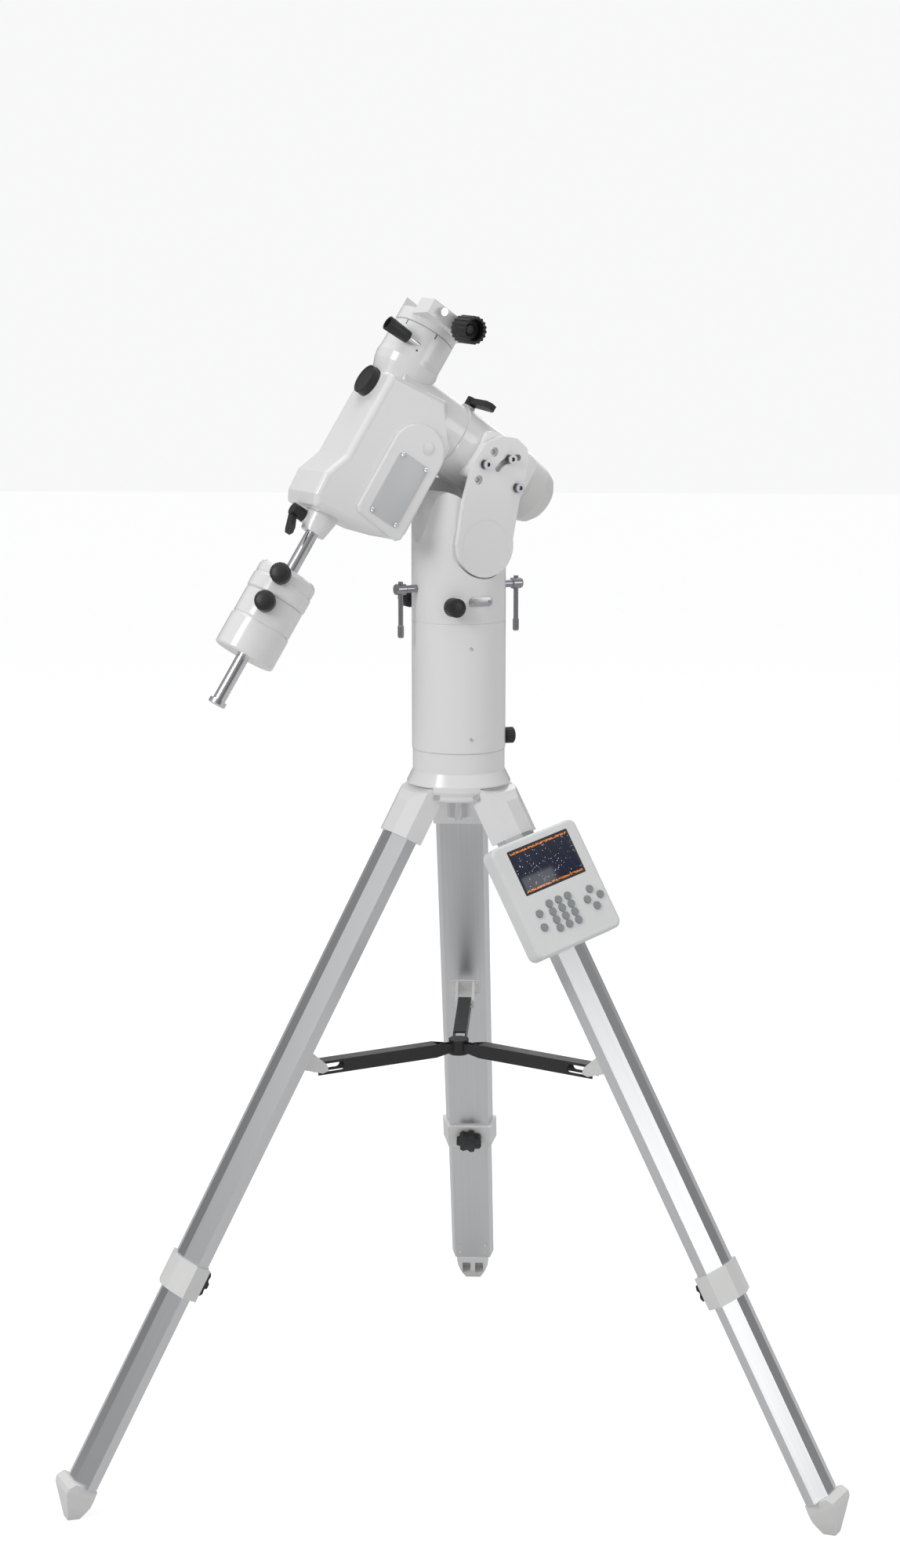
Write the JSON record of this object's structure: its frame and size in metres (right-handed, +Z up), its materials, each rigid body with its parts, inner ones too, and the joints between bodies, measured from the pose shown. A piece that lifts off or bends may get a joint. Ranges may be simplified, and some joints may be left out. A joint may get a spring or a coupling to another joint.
{
  "type": "equatorial mount",
  "caption": "German equatorial mount on a half pillar and folding tripod, with counterweights, dovetail saddle and a hand controller on one leg.",
  "frame": {"origin": "floor centre under the whole mount: the middle of its box in plan, at the floor", "axes": "+Z up; leg 1 points along +Y; the polar axis points up and towards azimuth 210 degrees"},
  "size_m": [1.118, 0.9686, 1.6923],
  "materials": {
    "black_plastic": "fine textured black moulding",
    "brass": "turned brass",
    "bright_steel": "polished",
    "controller_white": "fine textured white moulding",
    "dark_steel": "blackened steel",
    "grey_cover": "satin grey moulding",
    "leg_aluminium": "satin anodised",
    "screen_glass": "clear glossy window over a dark display",
    "weight_iron": "gloss white enamel on iron",
    "white_enamel": "gloss white enamel",
    "white_pillar": "gloss white enamel on steel tube",
    "white_plastic": "satin white moulding"
  },
  "bodies": {
    "stand": {"tripod_hub": "white_enamel", "hub_fasteners": "bright_steel", "half_pillar": "white_pillar"},
    "pillar_knob": {"pillar_knob": "black_plastic"},
    "leg_1": {"leg_1_head": "white_enamel", "leg_1_upper_tube": "leg_aluminium", "leg_1_collar_and_bracket": "white_plastic"},
    "leg_1_lower": {"leg_1_lower_tube": "leg_aluminium", "leg_1_foot": "white_plastic"},
    "leg_1_clamp": {"leg_1_clamp_knob": "black_plastic"},
    "leg_2": {"leg_2_head": "white_enamel", "leg_2_upper_tube": "leg_aluminium", "leg_2_collar_and_bracket": "white_plastic"},
    "leg_2_lower": {"leg_2_lower_tube": "leg_aluminium", "leg_2_foot": "white_plastic"},
    "leg_2_clamp": {"leg_2_clamp_knob": "black_plastic"},
    "leg_3": {"leg_3_head": "white_enamel", "leg_3_upper_tube": "leg_aluminium", "leg_3_collar_and_bracket": "white_plastic", "controller_case": "controller_white", "controller_screen": "screen_glass", "controller_holder": "black_plastic"},
    "leg_3_lower": {"leg_3_lower_tube": "leg_aluminium", "leg_3_foot": "white_plastic"},
    "leg_3_clamp": {"leg_3_clamp_knob": "black_plastic"},
    "spreader_hub": {"spreader_hub": "black_plastic"},
    "spreader_arm_1": {"spreader_arm_1": "black_plastic"},
    "spreader_arm_2": {"spreader_arm_2": "black_plastic"},
    "spreader_arm_3": {"spreader_arm_3": "black_plastic"},
    "azimuth_base": {"azimuth_base": "white_enamel"},
    "azimuth_knob_west": {"azimuth_knob_west": "black_plastic"},
    "azimuth_knob_east": {"azimuth_knob_east": "black_plastic"},
    "altitude_bolt_north": {"altitude_bolt_north": "dark_steel"},
    "altitude_bolt_south": {"altitude_bolt_south": "dark_steel"},
    "polar_housing": {"altitude_axle": "bright_steel", "side_plates": "white_enamel", "plate_bolts": "bright_steel", "ra_housing": "white_enamel"},
    "polar_cover": {"polar_cover": "white_plastic"},
    "ra_clamp_lever": {"ra_clamp_lever": "black_plastic"},
    "ra_worm": {"ra_worm": "brass"},
    "declination_housing": {"ra_shaft": "bright_steel", "dec_housing": "white_enamel", "motor_cover": "white_enamel", "bar_holder": "white_enamel", "dec_clamp_ring": "white_enamel"},
    "polar_cap": {"polar_cap": "black_plastic"},
    "bar_lock_lever": {"bar_lock_lever": "black_plastic"},
    "dec_clamp_lever": {"dec_clamp_lever": "black_plastic"},
    "dec_worm": {"dec_worm": "brass"},
    "saddle": {"dec_shaft": "bright_steel", "saddle": "white_enamel"},
    "saddle_knob": {"saddle_knob": "black_plastic"},
    "safety_screw": {"safety_screw": "bright_steel"},
    "counterweight_bar": {"counterweight_bar": "bright_steel"},
    "weight_upper": {"weight_upper": "weight_iron"},
    "weight_knob_upper": {"weight_knob_upper": "black_plastic"},
    "weight_lower": {"weight_lower": "weight_iron"},
    "weight_knob_lower": {"weight_knob_lower": "black_plastic"},
    "keypad": {"keypad": "grey_cover"}
  },
  "joints": [
    {"name": "pillar_knob_turn", "type": "hinge", "parent": "stand", "child": "pillar_knob", "pos_m": [0.0661, -0.1329, 1.068], "axis": [0.9511, 0.309, 0], "range_deg": [-180, 180]},
    {"name": "leg_1_fold", "type": "hinge", "parent": "stand", "child": "leg_1", "pos_m": [0, -0.09637, 0.992], "axis": [-1, 0, 0], "range_deg": [0, 15]},
    {"name": "leg_1_slide", "type": "slide", "parent": "leg_1", "child": "leg_1_lower", "axis": [0, 0.4955, -0.8686], "range_m": [-0.225, 0.29]},
    {"name": "leg_1_clamp_turn", "type": "hinge", "parent": "leg_1", "child": "leg_1_clamp", "pos_m": [0, 0.26882, 0.31845], "axis": [0, -0.8686, -0.4955], "range_deg": [-180, 180]},
    {"name": "leg_2_fold", "type": "hinge", "parent": "stand", "child": "leg_2", "pos_m": [-0.05023, -0.18337, 0.992], "axis": [0.5, -0.866, 0], "range_deg": [0, 15]},
    {"name": "leg_2_slide", "type": "slide", "parent": "leg_2", "child": "leg_2_lower", "axis": [-0.4291, -0.2477, -0.8686], "range_m": [-0.225, 0.29]},
    {"name": "leg_2_clamp_turn", "type": "hinge", "parent": "leg_2", "child": "leg_2_clamp", "pos_m": [-0.36649, -0.36597, 0.31845], "axis": [0.7523, 0.4343, -0.4955], "range_deg": [-180, 180]},
    {"name": "leg_3_fold", "type": "hinge", "parent": "stand", "child": "leg_3", "pos_m": [0.05023, -0.18337, 0.992], "axis": [0.5, 0.866, 0], "range_deg": [0, 15]},
    {"name": "leg_3_slide", "type": "slide", "parent": "leg_3", "child": "leg_3_lower", "axis": [0.4291, -0.2477, -0.8686], "range_m": [-0.225, 0.29]},
    {"name": "leg_3_clamp_turn", "type": "hinge", "parent": "leg_3", "child": "leg_3_clamp", "pos_m": [0.36649, -0.36597, 0.31845], "axis": [-0.7523, 0.4343, -0.4955], "range_deg": [-180, 180]},
    {"name": "spreader_lift", "type": "slide", "parent": "stand", "child": "spreader_hub", "axis": [0, 0, 1], "range_m": [0, 0.138]},
    {"name": "spreader_arm_1_fold", "type": "hinge", "parent": "spreader_hub", "child": "spreader_arm_1", "pos_m": [0, -0.12937, 0.605], "axis": [-1, 0, 0], "range_deg": [0, 61.5]},
    {"name": "spreader_arm_2_fold", "type": "hinge", "parent": "spreader_hub", "child": "spreader_arm_2", "pos_m": [-0.02165, -0.16687, 0.605], "axis": [0.5, -0.866, 0], "range_deg": [0, 61.5]},
    {"name": "spreader_arm_3_fold", "type": "hinge", "parent": "spreader_hub", "child": "spreader_arm_3", "pos_m": [0.02165, -0.16687, 0.605], "axis": [0.5, 0.866, 0], "range_deg": [0, 61.5]},
    {"name": "azimuth", "type": "hinge", "parent": "stand", "child": "azimuth_base", "pos_m": [0, -0.15437, 1.24], "axis": [0, 0, 1], "range_deg": [-7, 7]},
    {"name": "azimuth_knob_west_turn", "type": "hinge", "parent": "azimuth_base", "child": "azimuth_knob_west", "pos_m": [-0.00611, -0.2318, 1.2657], "axis": [0.5, -0.866, 0], "range_deg": [-180, 180]},
    {"name": "azimuth_knob_east_turn", "type": "hinge", "parent": "azimuth_base", "child": "azimuth_knob_east", "pos_m": [-0.07011, -0.12095, 1.2657], "axis": [-0.5, 0.866, 0], "range_deg": [-180, 180]},
    {"name": "altitude_bolt_north_turn", "type": "hinge", "parent": "azimuth_base", "child": "altitude_bolt_north", "pos_m": [-0.05889, -0.18837, 1.287], "axis": [-0.866, -0.5, 0], "range_deg": [-100, 100]},
    {"name": "altitude_bolt_south_turn", "type": "hinge", "parent": "azimuth_base", "child": "altitude_bolt_south", "pos_m": [0.05976, -0.11987, 1.287], "axis": [0.866, 0.5, 0], "range_deg": [-100, 100]},
    {"name": "altitude", "type": "hinge", "parent": "azimuth_base", "child": "polar_housing", "pos_m": [0.00693, -0.15037, 1.349], "axis": [0.5, -0.866, 0], "range_deg": [-10, 10]},
    {"name": "polar_cover_pull", "type": "slide", "parent": "polar_housing", "child": "polar_cover", "axis": [0.7288, 0.4208, -0.5402], "range_m": [0, 0.07]},
    {"name": "ra_clamp_turn", "type": "hinge", "parent": "polar_housing", "child": "ra_clamp_lever", "pos_m": [0.01421, -0.14617, 1.53997], "axis": [0.4679, 0.2701, 0.8415], "range_deg": [-50, 50]},
    {"name": "ra_worm_turn", "type": "hinge", "parent": "polar_housing", "child": "ra_worm", "pos_m": [-0.00411, -0.15675, 1.44779], "axis": [0.5, -0.866, 0], "continuous": true},
    {"name": "right_ascension", "type": "hinge", "parent": "polar_housing", "child": "declination_housing", "pos_m": [-0.0944, -0.20887, 1.5575], "axis": [-0.7288, -0.4208, 0.5402], "continuous": true},
    {"name": "polar_cap_pull", "type": "slide", "parent": "declination_housing", "child": "polar_cap", "axis": [-0.7288, -0.4208, 0.5402], "range_m": [0, 0.025]},
    {"name": "bar_lock_turn", "type": "hinge", "parent": "declination_housing", "child": "bar_lock_lever", "pos_m": [-0.20888, -0.27497, 1.39638], "axis": [-0.7288, -0.4208, 0.5402], "range_deg": [-60, 60]},
    {"name": "dec_clamp_turn", "type": "hinge", "parent": "declination_housing", "child": "dec_clamp_lever", "pos_m": [-0.04049, -0.22336, 1.61893], "axis": [-0.7288, -0.4208, 0.5402], "range_deg": [-90, 90]},
    {"name": "dec_worm_turn", "type": "hinge", "parent": "declination_housing", "child": "dec_worm", "pos_m": [-0.03619, -0.17527, 1.6011], "axis": [0.5, -0.866, 0], "continuous": true},
    {"name": "declination", "type": "hinge", "parent": "declination_housing", "child": "saddle", "pos_m": [-0.0944, -0.20887, 1.5575], "axis": [0.4679, 0.2701, 0.8415], "continuous": true},
    {"name": "saddle_knob_turn", "type": "hinge", "parent": "saddle", "child": "saddle_knob", "pos_m": [0.00813, -0.22402, 1.64915], "axis": [0.5734, -0.8173, -0.0565], "range_deg": [-180, 180]},
    {"name": "safety_screw_turn", "type": "hinge", "parent": "saddle", "child": "safety_screw", "pos_m": [-0.01946, -0.23765, 1.67243], "axis": [0.5734, -0.8173, -0.0565], "range_deg": [-180, 180]},
    {"name": "bar_slide", "type": "slide", "parent": "declination_housing", "child": "counterweight_bar", "axis": [0.4679, 0.2701, 0.8415], "range_m": [0, 0.03]},
    {"name": "weight_upper_slide", "type": "slide", "parent": "counterweight_bar", "child": "weight_upper", "axis": [0.4679, 0.2701, 0.8415], "range_m": [0, 0.03]},
    {"name": "weight_knob_upper_turn", "type": "hinge", "parent": "weight_upper", "child": "weight_knob_upper", "pos_m": [-0.23421, -0.3331, 1.32098], "axis": [-0.0084, -0.9507, 0.3099], "range_deg": [-180, 180]},
    {"name": "weight_lower_slide", "type": "slide", "parent": "counterweight_bar", "child": "weight_lower", "axis": [0.4679, 0.2701, 0.8415], "range_m": [-0.065, 0]},
    {"name": "weight_knob_lower_turn", "type": "hinge", "parent": "weight_lower", "child": "weight_knob_lower", "pos_m": [-0.25442, -0.34477, 1.28463], "axis": [-0.0084, -0.9507, 0.3099], "range_deg": [-180, 180]},
    {"name": "keypad_press", "type": "slide", "parent": "leg_3", "child": "keypad", "axis": [-0.4944, 0.7404, -0.4554], "range_m": [0, 0.0012], "stiffness_N_per_m": 1500}
  ],
  "couplings": [
    {"joint": "leg_2_fold", "follows": "leg_1_fold", "ratio": 1},
    {"joint": "leg_3_fold", "follows": "leg_1_fold", "ratio": 1},
    {"joint": "spreader_lift", "follows": "leg_1_fold", "m_per_rad": 0.5271},
    {"joint": "spreader_arm_1_fold", "follows": "leg_1_fold", "ratio": 4.1},
    {"joint": "spreader_arm_2_fold", "follows": "leg_1_fold", "ratio": 4.1},
    {"joint": "spreader_arm_3_fold", "follows": "leg_1_fold", "ratio": 4.1},
    {"joint": "ra_worm_turn", "follows": "right_ascension", "ratio": -180},
    {"joint": "dec_worm_turn", "follows": "declination", "ratio": 180}
  ]
}
